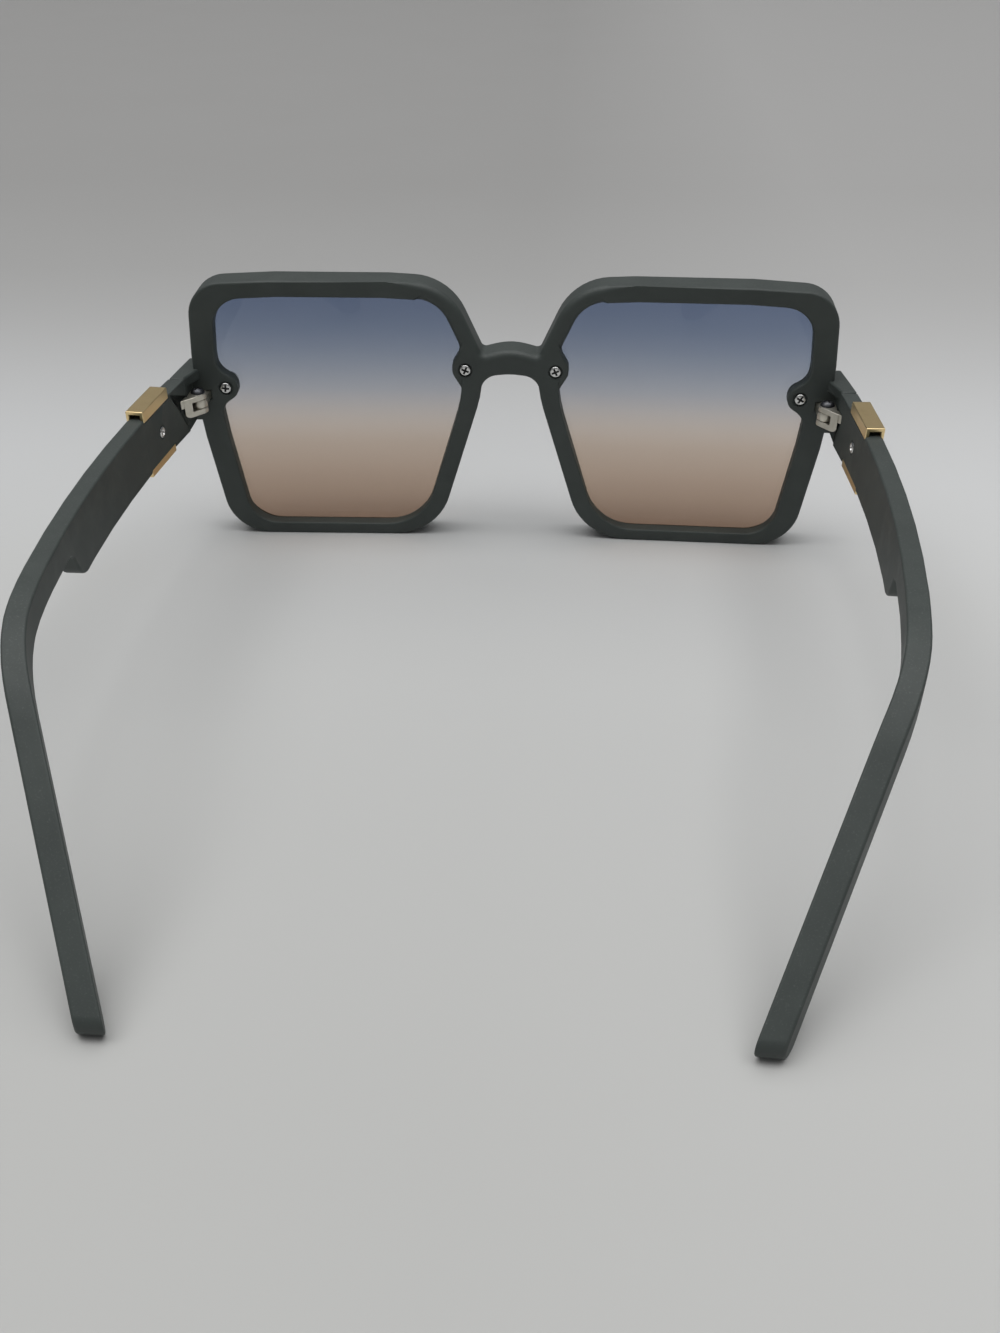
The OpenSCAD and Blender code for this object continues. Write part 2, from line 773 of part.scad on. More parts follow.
// The temple's outline seen from above: the bow, the bend behind the ear and a straight tip
module temple_plan() {
  bow = bend([temple_x, temple_y], flare_angle, bow_r, bow_angle, 8);
  bow_end = bow[len(bow) - 1];
  ear = bend(bow_end, bow_end[2], ear_r, ear_angle, 6);
  ear_end = ear[len(ear) - 1];
  tip = [ear_end[0] + reach * sin(ear_end[2]), ear_end[1] + reach * cos(ear_end[2]), ear_end[2]];
  path = concat(bow, [for (i = [1:len(ear) - 1]) ear[i]], [tip]);
  outer = [for (p = path) thick_at(p) / 2 * [cos(p[2]), -sin(p[2])] + spot(p)];
  inner = [for (i = [len(path) - 1:-1:0])
    let (p = path[i]) spot(p) - thick_at(p) / 2 * [cos(p[2]), -sin(p[2])]];
  polygon(concat([[inner_face_x + temple_t, temple_y - seam_slant]],
    [for (i = [1:len(outer) - 1]) outer[i]],
    [for (i = [0:len(inner) - 2]) inner[i]],
    [[inner_face_x, temple_y + seam_slant]]));
}

// Thickness of a temple at a point of its path
function thick_at(p) = temple_t + (tip_t - temple_t) * min(1, max(0, (p[1] - seam_y) / (reach - seam_y)));

// The temple's outline seen from the side: a broad part, a slim arm and a dropped round tip
module temple_side() {
  down = [cos(drop_angle), -sin(drop_angle)];
  up = [sin(drop_angle), cos(drop_angle)];
  tip = [reach - tip_r, tip_r];
  slope = tan(drop_angle);
  upper = tip + tip_r * up;
  lower = tip - tip_r * up;
  polygon(rounded([
    [temple_y, temple_low, 0],
    [temple_y, temple_top, 0],
    [upper[0] - (temple_top - upper[1]) / slope, temple_top, drop_r],
    [(upper + tip_r * down)[0], (upper + tip_r * down)[1], tip_r],
    [(lower + tip_r * down)[0], (lower + tip_r * down)[1], tip_r],
    [lower[0] - (arm_low - lower[1]) / slope, arm_low, drop_r - arm_h],
    [broad_end + step_run, arm_low, step_top_r],
    [broad_end, temple_low, step_low_r]
  ]));
}

// Places a shape at a length of a temple's bow; x then runs outwards across the temple
module beside(s) {
  at = on_bow(s);
  translate([at[0], at[1], 0]) rotate([0, 0, -at[2]]) children();
}

// A bar of the clasp's length between two places across the temple and two heights
module bar(x1, x2, z1, z2, l) {
  translate([x1, -l / 2, z1]) cube([x2 - x1, l, z2 - z1]);
}

// The sleeve of folded sheet that wraps the temple and stops at lips on its inner face
module clasp_sleeve() {
  inner = -temple_t / 2;
  outer = temple_t / 2 + clasp_proud;
  low = temple_low - clasp_drop;
  top = temple_top + clasp_rise;
  beside(clasp_at) difference() {
    bar(inner, outer, low, top, clasp_l);
    bar(inner + clasp_t, outer - clasp_t, low + clasp_t, top - clasp_t, clasp_l + cut);
    bar(inner - cut, inner + clasp_t + cut, temple_low + lip_in, temple_top - lip_in, clasp_l + cut);
  }
}

// What a temple gives up for the clasp's plate and lips
module clasp_seat() {
  inner = -temple_t / 2 + clasp_t + clasp_gap;
  outer = temple_t / 2 + clasp_proud - clasp_t - clasp_gap;
  length = clasp_l + 2 * clasp_gap;
  beside(clasp_at) {
    bar(outer, temple_t, temple_low - cut, temple_top + cut, length);
    bar(-temple_t, inner, temple_top - lip_in - clasp_gap, temple_top + cut, length);
    bar(-temple_t, inner, temple_low - cut, temple_low + lip_in + clasp_gap, length);
  }
}

// A round rod across the temple, through the place of the clasp's pin
module across(from, to, r) {
  beside(clasp_pin_at) translate([from, 0, hinge_z]) rotate([0, 90, 0]) cylinder(h = to - from, r = r);
}

module temple() {
  difference() {
    intersection() {
      linear_extrude(temple_top + cut) temple_plan();
      rotate([90, 0, 90]) linear_extrude(2 * side_x) temple_side();
    }
    temple_anchor();
    clasp_seat();
    across(-temple_t, temple_t, clasp_pin_r + screw_hole_gap);
    across(-temple_t, -temple_t / 2 + head_sink, clasp_head_r + screw_hole_gap);
  }
}

module left_temple() {
  color(frame_green) placed() temple();
}

module right_temple() {
  color(frame_green) placed() right_rest() temple();
}

module left_clasp() {
  color(clasp_gold) placed() clasp_sleeve();
}

module right_clasp() {
  color(clasp_gold) placed() right_rest() clasp_sleeve();
}

// The pin that holds a clasp, with its head on the temple's inner face
module clasp_pin() {
  inner = -temple_t / 2 + head_sink;
  across(-temple_t / 2 - clasp_head_h, inner, clasp_head_r);
  across(inner - skin, temple_t / 2 + clasp_proud - clasp_t, clasp_pin_r);
}

module left_clasp_pin() {
  color(screw_silver) placed() clasp_pin();
}

module right_clasp_pin() {
  color(screw_silver) placed() right_rest() clasp_pin();
}

front_frame();
left_lens();
right_lens();
left_inner_lens_screw();
left_outer_lens_screw();
right_inner_lens_screw();
right_outer_lens_screw();
left_inner_lens_nut();
left_outer_lens_nut();
right_inner_lens_nut();
right_outer_lens_nut();
left_front_hinge();
right_front_hinge();
left_hinge_screw();
right_hinge_screw();
left_temple_hinge();
right_temple_hinge();
left_temple();
right_temple();
left_clasp();
right_clasp();
left_clasp_pin();
right_clasp_pin();
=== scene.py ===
# %% [markdown]
# # Square sunglasses with gradient lenses
#
# A plastic front holds two tinted lenses with four screws. Two plastic temples fold behind it on small
# metal hinges, and a gold clasp wraps each temple. The measured model comes in as a fixed frame, and each
# piece is dressed here: soft edges, real screw heads, and a finish that has the detail of the real one.
#
# Lengths on the sunglasses are written in millimetres, and MM turns them into Blender's metres.

# %% Load the measured model
import math

import bmesh
import bpy
from mathutils import Euler, Matrix, Vector


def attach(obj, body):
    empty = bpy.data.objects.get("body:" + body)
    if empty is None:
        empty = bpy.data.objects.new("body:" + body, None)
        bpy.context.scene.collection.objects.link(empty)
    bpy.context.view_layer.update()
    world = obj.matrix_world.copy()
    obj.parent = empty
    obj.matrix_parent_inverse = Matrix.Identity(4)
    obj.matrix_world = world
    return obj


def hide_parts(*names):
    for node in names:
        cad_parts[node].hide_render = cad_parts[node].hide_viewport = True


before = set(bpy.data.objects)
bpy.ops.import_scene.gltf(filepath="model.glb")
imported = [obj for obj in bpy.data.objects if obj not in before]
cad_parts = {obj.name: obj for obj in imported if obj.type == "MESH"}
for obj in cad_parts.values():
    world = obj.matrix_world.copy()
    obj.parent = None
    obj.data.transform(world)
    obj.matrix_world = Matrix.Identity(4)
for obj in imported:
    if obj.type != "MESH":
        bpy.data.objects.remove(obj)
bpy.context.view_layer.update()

MM = 0.001

# %% [markdown]
# ## Camera
#
# The sunglasses are seen from behind and above, as if they had just been taken off. A phone's lens is
# wide, so the near temple tips look large. A camera can be aimed by eye or made to track a target. Here
# its place and its three angles were worked out from the outlines of both rims, so the view repeats
# exactly. The focal length belongs to the 36 mm sensor that Blender starts with.

# %% Camera
CAMERA_AT = Vector((-12.92, 193.05, 148.76)) * MM
LOOK_DOWN, LOOK_ASIDE, TILT = 35.186, 3.311, -0.154
FOCAL_LENGTH, NEAREST_SEEN = 33.75, 10.0

camera = bpy.data.objects.new("camera", bpy.data.cameras.new("camera"))
bpy.context.scene.collection.objects.link(camera)
turn = Euler((math.radians(90 - LOOK_DOWN), 0, math.radians(180 + LOOK_ASIDE))).to_matrix()
turn = turn @ Matrix.Rotation(math.radians(TILT), 3, "Z")
camera.matrix_world = Matrix.Translation(CAMERA_AT) @ turn.to_4x4()
camera.data.lens = FOCAL_LENGTH
camera.data.clip_start = NEAREST_SEEN * MM
bpy.context.scene.camera = camera
print("camera at", [round(v, 4) for v in camera.location])

# %% [markdown]
# ## Light
#
# Two soft panels high overhead, one to each side, let each temple throw two faint shadows. A wide panel
# between them and the even light of the room fill those shadows. One lamp would be simpler, but it leaves
# a single hard shadow. The panels hang 3 m up, so that the floor is lit evenly, and together they are as
# strong as it takes for a colour to look as it is written. Sizes are in metres and powers in watts.

# %% Light
PANELS = {
    "panel_left": {"at": (1.25, 0.1, 3.0), "size": (1.4, 2.6), "power": 24.0},
    "panel_right": {"at": (-0.7, 0.1, 3.1), "size": (1.4, 2.6), "power": 20.0},
    "panel_wide": {"at": (0.0, -0.5, 3.2), "size": (4.8, 4.8), "power": 74.0},
}
ROOM_COLOUR, ROOM_STRENGTH = (0.97, 0.98, 1, 1), 0.17


def soft_panel(name, at, size, power):
    lamp = bpy.data.lights.new(name, "AREA")
    lamp.shape, lamp.energy = "RECTANGLE", power
    lamp.size, lamp.size_y = size
    panel = bpy.data.objects.new(name, lamp)
    bpy.context.scene.collection.objects.link(panel)
    panel.location = at
    panel.rotation_euler = (-Vector(at)).to_track_quat("-Z", "Y").to_euler()


for name, values in PANELS.items():
    soft_panel(name, **values)
world = bpy.data.worlds.new("room")
bpy.context.scene.world = world
world.use_nodes = True
world.node_tree.nodes["Background"].inputs["Color"].default_value = ROOM_COLOUR
world.node_tree.nodes["Background"].inputs["Strength"].default_value = ROOM_STRENGTH
bpy.context.scene.view_settings.view_transform = "Standard"

# %% [markdown]
# ## Materials are node trees
#
# Every material starts as a tree with one shader, the Principled BSDF, and one output. Nodes could be placed
# by hand in the Shader Editor. Here a helper adds a node with its values in one line: a word that names a
# socket sets that socket, and any other word sets a property of the node. The shader's constant values are
# set on the shader itself, because an exported model keeps them only there.

# %% New materials and nodes
def new_material(name):
    material = bpy.data.materials.new(name)
    material.use_nodes = True
    return material, material.node_tree, material.node_tree.nodes["Principled BSDF"]


def add_node(tree, kind, **values):
    made = tree.nodes.new(kind)
    for key, value in values.items():
        label = key.replace("_", " ")
        if label in made.inputs:
            made.inputs[label].default_value = value
        else:
            setattr(made, key, value)
    return made


# %% [markdown]
# ## Masks, mixes and bumps
#
# A mask is a value from 0 to 1 that changes over a surface. Three small steps do most of the work: a mask
# mixes two colours, a mask is spread over the range that a roughness needs, and a mask becomes tiny bumps
# that the light sees but the mesh doesn't have. A Mix node has sockets for every kind of value, and its
# colours are inputs 6 and 7 and output 2.

# %% Masks, mixes and bumps
def blend(tree, mask, first, second):
    made = add_node(tree, "ShaderNodeMix", data_type="RGBA")
    tree.links.new(mask, made.inputs[0])
    for socket, colour in zip(made.inputs[6:8], (first, second)):
        if isinstance(colour, tuple):
            socket.default_value = (*colour, 1)
        else:
            tree.links.new(colour, socket)
    return made.outputs[2]


def spread(tree, mask, low, high, start=0.0, end=1.0):
    made = add_node(tree, "ShaderNodeMapRange")
    for label, value in (("From Min", start), ("From Max", end), ("To Min", low), ("To Max", high)):
        made.inputs[label].default_value = value
    tree.links.new(mask, made.inputs["Value"])
    return made.outputs["Result"]


def bumped(tree, shader, height, strength, distance):
    made = add_node(tree, "ShaderNodeBump", Strength=strength, Distance=distance * MM)
    tree.links.new(height, made.inputs["Height"])
    tree.links.new(made.outputs["Normal"], shader.inputs["Normal"])


# %% [markdown]
# ## Shared finishes as node groups
#
# Real surfaces share a few kinds of unevenness: the grain of a mould, patches where the colour or the gloss
# drifts, marks from hands, fine lines from polishing, and dust that settles on top. They could be drawn
# again in every material. As groups each is built once, with its size in millimetres as an input, so every
# material uses it at its own scale. Noise on Object coordinates needs no unwrapping and has no seams.

# %% Group helpers
def new_group(name, inputs, outputs):
    group = bpy.data.node_groups.new(name, "ShaderNodeTree")
    for label, value in inputs.items():
        kind = "NodeSocketVector" if isinstance(value, tuple) else "NodeSocketFloat"
        group.interface.new_socket(label, in_out="INPUT", socket_type=kind).default_value = value
    for label in outputs:
        group.interface.new_socket(label, in_out="OUTPUT", socket_type="NodeSocketFloat")
    return group, group.nodes.new("NodeGroupInput"), group.nodes.new("NodeGroupOutput")


def noise_at(group, enter, size_label, detail, roughness, stretch=None):
    place = add_node(group, "ShaderNodeTexCoord").outputs["Object"]
    if stretch is not None:
        scaled = add_node(group, "ShaderNodeVectorMath", operation="MULTIPLY")
        group.links.new(place, scaled.inputs[0])
        group.links.new(stretch, scaled.inputs[1])
        place = scaled.outputs[0]
    scale = add_node(group, "ShaderNodeMath", operation="DIVIDE")
    scale.inputs[0].default_value = 1 / MM
    group.links.new(enter.outputs[size_label], scale.inputs[1])
    made = add_node(group, "ShaderNodeTexNoise", Detail=detail, Roughness=roughness)
    group.links.new(place, made.inputs["Vector"])
    group.links.new(scale.outputs[0], made.inputs["Scale"])
    return made.outputs[0]


# %% [markdown]
# ## Mould grain
#
# A mould is etched, so the plastic that comes out of it has a fine even grain, and its tone drifts a little
# where it cooled at another pace. Both are noises, one small and one large. Noise keeps close to its middle
# value, so the patches are spread out between a low and a high threshold until they reach from 0 to 1.

# %% Mould grain
NOISE_LOW, NOISE_HIGH = 0.3, 0.7

group, enter, leave = new_group("mould_grain", {"Grain mm": 0.25, "Patch mm": 8.0}, ["Grain", "Patches"])
group.links.new(noise_at(group, enter, "Grain mm", detail=2, roughness=0.6), leave.inputs["Grain"])
patches = noise_at(group, enter, "Patch mm", detail=3, roughness=0.55)
group.links.new(spread(group, patches, 0, 1, NOISE_LOW, NOISE_HIGH), leave.inputs["Patches"])
print("group:", group.name)

# %% [markdown]
# ## Hand marks and polishing lines
#
# Fingers leave soft smears that cover only part of a surface. So the marks are a noise with a floor under
# it: what rises above the floor shows, and a larger cover lowers the floor. A polishing wheel leaves long
# thin lines. They are the same noise, squeezed along one axis before it is read. Painted textures would
# show more, but they belong to one shape, while these fit any piece.

# %% Hand marks and polishing lines
MARK_FADE = 0.2

group, enter, leave = new_group("hand_marks", {"Mark mm": 14.0, "Cover": 0.45}, ["Marks"])
smears = noise_at(group, enter, "Mark mm", detail=6, roughness=0.62)
least = add_node(group, "ShaderNodeMath", operation="SUBTRACT")
least.inputs[0].default_value = 1
group.links.new(enter.outputs["Cover"], least.inputs[1])
above = add_node(group, "ShaderNodeMath", operation="SUBTRACT")
group.links.new(smears, above.inputs[0])
group.links.new(least.outputs[0], above.inputs[1])
group.links.new(spread(group, above.outputs[0], 0, 1, 0, MARK_FADE), leave.inputs["Marks"])
print("group:", group.name)

group, enter, leave = new_group("polish_lines", {"Line mm": 0.5, "Stretch": (1.0, 0.06, 1.0)}, ["Lines"])
lines = noise_at(group, enter, "Line mm", detail=3, roughness=0.7, stretch=enter.outputs["Stretch"])
group.links.new(spread(group, lines, 0, 1, NOISE_LOW, NOISE_HIGH), leave.inputs["Lines"])
print("group:", group.name)

# %% [markdown]
# ## Settled dust
#
# Dust falls from above, so it lies on the faces that look up and never under a piece. Specks could be
# scattered as tiny meshes, but at this size a mask does as well: a sharp noise, times how far the surface's
# normal points up. On a folded temple the dust stays right, because folding turns round the same upright.

# %% Settled dust
SPECK_FROM, SPECK_FULL = 0.56, 0.72
SLOPE_FROM = 0.2

group, enter, leave = new_group("settled_dust", {"Speck mm": 0.5, "Amount": 0.5}, ["Dust"])
noise = noise_at(group, enter, "Speck mm", detail=4, roughness=0.75)
specks = spread(group, noise, 0, 1, SPECK_FROM, SPECK_FULL)
upright = add_node(group, "ShaderNodeSeparateXYZ")
group.links.new(add_node(group, "ShaderNodeNewGeometry").outputs["Normal"], upright.inputs[0])
up = spread(group, upright.outputs["Z"], 0, 1, SLOPE_FROM, 1)
settled = add_node(group, "ShaderNodeMath", operation="MULTIPLY")
group.links.new(specks, settled.inputs[0])
group.links.new(up, settled.inputs[1])
amount = add_node(group, "ShaderNodeMath", operation="MULTIPLY", use_clamp=True)
group.links.new(settled.outputs[0], amount.inputs[0])
group.links.new(enter.outputs["Amount"], amount.inputs[1])
group.links.new(amount.outputs[0], leave.inputs["Dust"])
print("groups:", [g.name for g in bpy.data.node_groups])

# %% [markdown]
# ## Helpers for the first object
#
# A shape is made in a bmesh, which is a mesh that can be edited, and then it is linked into the scene as an
# object. The object stays at the origin, and its place is in its mesh, as with the measured nodes. The two
# other helpers put a shared group into a material with this material's own sizes, and make a Color Ramp
# whose steps flow into each other.

# %% Objects, groups in use and soft ramps
def linked(name, bm):
    mesh = bpy.data.meshes.new(name)
    bm.to_mesh(mesh)
    bm.free()
    piece = bpy.data.objects.new(name, mesh)
    bpy.context.scene.collection.objects.link(piece)
    return piece


def use_group(tree, name, **values):
    made = add_node(tree, "ShaderNodeGroup")
    made.node_tree = bpy.data.node_groups[name]
    for key, value in values.items():
        made.inputs[key.replace("_", " ")].default_value = value
    return made.outputs


def soft_ramp(tree, mask, stops):
    ramp = add_node(tree, "ShaderNodeValToRGB")
    ramp.color_ramp.interpolation = "B_SPLINE"
    elements = ramp.color_ramp.elements
    while len(elements) < len(stops):
        elements.new(0.5)
    for element, (place, colour) in zip(elements, stops):
        element.position = place
        element.color = (*colour, 1)
    tree.links.new(mask, ramp.inputs["Fac"])
    return ramp.outputs["Color"]


# %% [markdown]
# ## Floor
#
# A sheet of pale paper lies under the sunglasses. In a studio it curves up far behind them and gets
# darker there. A curved sheet would hide the front when the camera walks round, so this one stays flat,
# and that shade is painted into its colour instead: it darkens with distance, and painted light makes it
# a little lighter on one side. A Color Ramp with soft steps gives that painted shade along Y, and one large
# grid is enough to carry it. Distances are in metres.

# %% Floor
FLOOR_HALF = 6
SHADE_FROM, SHADE_TO = 0.1, -0.4
# Painted light: where and how strongly the floor is lightened towards negative X.
PAINTED_LIGHT_FROM, PAINTED_LIGHT_TO, PAINTED_LIGHT_SHARE, PAINTED_LIGHT_GAMMA = 0.0, -0.12, 0.75, 0.78
# Paper colour with painted light and shade along Y: lightest just behind the front, darker towards the camera
# and much darker far away.
PAPER_AND_PAINTED_SHADE = [(0, (0.52, 0.52, 0.505)), (0.3, (0.585, 0.59, 0.583)), (0.44, (0.62, 0.628, 0.632)),
         (0.6, (0.44, 0.44, 0.437)), (0.74, (0.38, 0.378, 0.372)), (1, (0.33, 0.326, 0.32))]
PATCH_GREY, PATCH_SHARE = (0.45, 0.46, 0.47), 0.04

bm = bmesh.new()
bmesh.ops.create_grid(bm, x_segments=1, y_segments=1, size=FLOOR_HALF)
floor = linked("floor", bm)
paper, tree, shader = new_material("pale_paper_painted_shade")
split = add_node(tree, "ShaderNodeSeparateXYZ")
tree.links.new(add_node(tree, "ShaderNodeTexCoord").outputs["Object"], split.inputs[0])
# Painted shade: the ramp darkens the paper with distance, in place of the shade on a curved backdrop.
shade = soft_ramp(tree, spread(tree, split.outputs["Y"], 0, 1, SHADE_FROM, SHADE_TO), PAPER_AND_PAINTED_SHADE)
fibres = use_group(tree, "mould_grain", Grain_mm=0.8, Patch_mm=60.0)
# Painted light: the floor is made a little lighter towards negative X.
painted_light = add_node(tree, "ShaderNodeGamma", Gamma=PAINTED_LIGHT_GAMMA)
tree.links.new(shade, painted_light.inputs["Color"])
aside = spread(tree, split.outputs["X"], 0, PAINTED_LIGHT_SHARE, PAINTED_LIGHT_FROM, PAINTED_LIGHT_TO)
lit = blend(tree, aside, shade, painted_light.outputs["Color"])
tone = blend(tree, spread(tree, fibres["Patches"], 0, PATCH_SHARE), lit, PATCH_GREY)
tree.links.new(tone, shader.inputs["Base Color"])
bumped(tree, shader, fibres["Grain"], strength=0.03, distance=0.05)
shader.inputs["Roughness"].default_value = 0.6
shader.inputs["Specular IOR Level"].default_value = 0.3
floor.data.materials.append(paper)
print("floor:", 2 * FLOOR_HALF, "m wide, with", len(PAPER_AND_PAINTED_SHADE), "shades")

# %% [markdown]
# ## Copies of the measured nodes
#
# A node comes in as loose triangles with knife-sharp edges. A bevel needs faces that share their edges, so
# a copy of the node is merged first, and the triangles of each flat are joined to one face. The node itself
# is never touched. Sharp edges are then found by the angle between their two faces, and by where they lie.

# %% Merged copies and their sharp edges
MERGE_WITHIN, FLAT_WITHIN = 0.004, 0.6
SHARP_FROM = 40


def merged_copy(node):
    bm = bmesh.new()
    bm.from_mesh(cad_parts[node].data)
    bmesh.ops.remove_doubles(bm, verts=bm.verts, dist=MERGE_WITHIN * MM)
    bmesh.ops.dissolve_degenerate(bm, edges=bm.edges, dist=MERGE_WITHIN * MM)
    bmesh.ops.dissolve_limit(bm, angle_limit=math.radians(FLAT_WITHIN), verts=bm.verts, edges=bm.edges)
    return bm


def sharp_edges(bm, where=lambda p: True):
    found = []
    for edge in bm.edges:
        if len(edge.link_faces) != 2 or not edge.is_convex:
            continue
        if edge.calc_face_angle() < math.radians(SHARP_FROM):
            continue
        if all(where(vert.co / MM) for vert in edge.verts):
            found.append(edge)
    return found


# %% [markdown]
# ## Soft edges and finished pieces
#
# No moulded, cast or cut edge is really sharp, and a round edge is what catches the light. A Bevel modifier
# would round every edge by one radius, while the bevel operator takes a list of edges, so each region gets
# its own. The shading then follows the large faces, so a flat stays flat beside a rounded edge. The piece
# stays where its node is, rides on the same body, and takes the node's place.

# %% Soft edges and finished pieces
SMOOTH_UNDER, LARGE_FACE_WEIGHT = 35, 90


def soften(bm, edges, radius, steps):
    bmesh.ops.bevel(bm, geom=edges, offset=radius * MM, offset_type="OFFSET", segments=steps,
                    profile=0.5, affect="EDGES", clamp_overlap=False, material=-1)


def finish_piece(name, bm, body, slot, node, *materials):
    for face in bm.faces:
        face.smooth = True
    piece = linked(name, bm)
    for material in materials:
        piece.data.materials.append(material)
    piece.data.set_sharp_from_angle(angle=math.radians(SMOOTH_UNDER))
    even = piece.modifiers.new("even_normals", "WEIGHTED_NORMAL")
    even.weight, even.keep_sharp = LARGE_FACE_WEIGHT, True
    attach(piece, body)
    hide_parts(node)
    print(name, len(piece.data.polygons), "faces")


# %% [markdown]
# ## Frame plastic
#
# The front and the temples are moulded nylon with a soft-touch coat. The coat hides flow lines but keeps a
# fine grain, and it takes on patches of shine where fingers rub it. A single dark green would look like
# paint, so the colour drifts between two close greens, and the rubbed patches have a lower roughness. The
# grain is a bump of a few hundredths of a millimetre, because it is far too fine for a mesh.

# %% Frame plastic
DEEP_GREEN, PALE_GREEN, DUST_GREY = (0.046, 0.0555, 0.052), (0.0555, 0.0665, 0.062), (0.20, 0.21, 0.20)
ROUGH_COAT, RUBBED_COAT = 0.56, 0.46

plastic, tree, shader = new_material("soft_touch_plastic")
grain = use_group(tree, "mould_grain", Grain_mm=0.16, Patch_mm=7.0)
marks = use_group(tree, "hand_marks", Mark_mm=11.0, Cover=0.5)
dust = use_group(tree, "settled_dust", Speck_mm=0.35, Amount=0.35)
colour = blend(tree, grain["Patches"], DEEP_GREEN, PALE_GREEN)
colour = blend(tree, dust["Dust"], colour, DUST_GREY)
tree.links.new(colour, shader.inputs["Base Color"])
tree.links.new(spread(tree, marks["Marks"], ROUGH_COAT, RUBBED_COAT), shader.inputs["Roughness"])
bumped(tree, shader, grain["Grain"], strength=0.25, distance=0.02)
shader.inputs["Specular IOR Level"].default_value = 0.42
print("plastic:", plastic.name, "with", len(tree.nodes), "nodes")

# %% [markdown]
# ## Front
#
# The rims, the bridge and the pads for the screws are one moulding. Its edges are rounded in three goes.
# The sinkings for the screw heads keep their small edges, because a mould's pins leave them crisp. The
# upper edge over the nose, along the bridge and its roots, is polished round. All the other edges get a
# middle radius. Each go picks its edges by place: a screw's place is measured along its own half of the
# front, which is turned back a little, and the nose region is a wedge that widens upwards.

# %% Front
REAR_Y, WRAP = -73.0, math.radians(1.6)
SCREWS = {"inner": (10.1, 41.8), "outer": (64.6, 37.1)}
SINK_REACH, PAST_SINK = 1.75, 1.7
REAR_DEPTH, BROW_FOOT, BROW_FLARE, BROW_HALF, BROW_END = 0.4, 44.9, 45.9, 10.2, 24
SINK_ROUND, BROW_ROUND, RIM_ROUND = (0.08, 1), (1.5, 7), (0.5, 4)


def at_screw(p, reach=SINK_REACH):
    across = (abs(p.x) - (p.y - REAR_Y) * math.sin(WRAP)) / math.cos(WRAP)
    return any(math.hypot(across - x, p.z - z) < reach for x, z in SCREWS.values())


def beside_nose(p):
    x, rear = abs(p.x), p.y > REAR_Y - REAR_DEPTH
    return rear and p.z > BROW_FOOT and x < BROW_END and x < BROW_HALF + max(0.0, p.z - BROW_FLARE)


bm = merged_copy("front_frame")
soften(bm, sharp_edges(bm, at_screw), *SINK_ROUND)
brows = sharp_edges(bm, beside_nose)
soften(bm, brows, *BROW_ROUND)
edges = sharp_edges(bm, lambda p: not at_screw(p, PAST_SINK))
print("front:", len(brows), "edges over the nose", len(edges), "other sharp edges")
soften(bm, edges, *RIM_ROUND)
finish_piece("moulded_front", bm, "front", "frame_plastic", "front_frame", plastic)

# %% [markdown]
# ## Temples
#
# Each temple is one moulding too, from the block at the hinge to the dropped tip. Near the hinge it has to
# meet the front with a narrow joint, so its edges there are kept tight. Behind, where it lies against the
# head, they are rounder. The two regions share a millimetre, so no edge between them is missed.

# %% Temples
TIGHT_UNTIL, ROUND_FROM = -52, -53
TIGHT_ROUND, HEAD_ROUND = (0.22, 3), (0.45, 4)

for side in ("left", "right"):
    bm = merged_copy(side + "_temple")
    near = sharp_edges(bm, lambda p: p.y < TIGHT_UNTIL)
    soften(bm, near, *TIGHT_ROUND)
    edges = sharp_edges(bm, lambda p: p.y > ROUND_FROM)
    print(side, "temple:", len(near), "edges near the hinge", len(edges), "behind")
    soften(bm, edges, *HEAD_ROUND)
    finish_piece(side + "_temple_moulding", bm, side + "_temple", "frame_plastic", side + "_temple", plastic)

# %% [markdown]
# ## Lens tint
#
# Each lens is a flat sheet of clear plastic, dyed in a bath that it is drawn out of slowly: blue-grey above,
# nearly clear at the middle and brown below. The dye's height is the lens's own, so the gradient runs
# along Z. A coat on both faces keeps reflections faint, which a low index stands in for. Light from the
# panels has to pass too. Glass that bends light would throw a dark shadow, so shadow rays meet a clear
# sheet of the same tint, and Light Path chooses between the two shaders.

# %% Lens tint
DYE_LOW, DYE_TOP = 2, 58
DYE = [(0.0, (0.42, 0.29, 0.215)), (0.2, (0.53, 0.40, 0.31)), (0.36, (0.65, 0.53, 0.435)),
       (0.47, (0.75, 0.66, 0.59)), (0.6, (0.56, 0.585, 0.635)), (0.8, (0.29, 0.355, 0.485)),
       (1.0, (0.21, 0.27, 0.43))]
SMEARED, SHADOW_GAMMA = 0.05, 0.5

tinted, tree, shader = new_material("gradient_tint")
split = add_node(tree, "ShaderNodeSeparateXYZ")
tree.links.new(add_node(tree, "ShaderNodeTexCoord").outputs["Object"], split.inputs[0])
dye = soft_ramp(tree, spread(tree, split.outputs["Z"], 0, 1, DYE_LOW * MM, DYE_TOP * MM), DYE)
tree.links.new(dye, shader.inputs["Base Color"])
smears = use_group(tree, "hand_marks", Mark_mm=16.0, Cover=0.42)
tree.links.new(spread(tree, smears["Marks"], 0, SMEARED), shader.inputs["Roughness"])
shader.inputs["Transmission Weight"].default_value = 1
shader.inputs["IOR"].default_value = 1.3

clear = add_node(tree, "ShaderNodeBsdfTransparent")
pale = add_node(tree, "ShaderNodeGamma", Gamma=SHADOW_GAMMA)
tree.links.new(dye, pale.inputs["Color"])
tree.links.new(pale.outputs["Color"], clear.inputs["Color"])
either = add_node(tree, "ShaderNodeMixShader")
tree.links.new(add_node(tree, "ShaderNodeLightPath").outputs["Is Shadow Ray"], either.inputs[0])
tree.links.new(shader.outputs["BSDF"], either.inputs[1])
tree.links.new(clear.outputs["BSDF"], either.inputs[2])
tree.links.new(either.outputs["Shader"], tree.nodes["Material Output"].inputs["Surface"])
print("tint:", len(DYE), "dyes over", DYE_TOP - DYE_LOW, "mm")

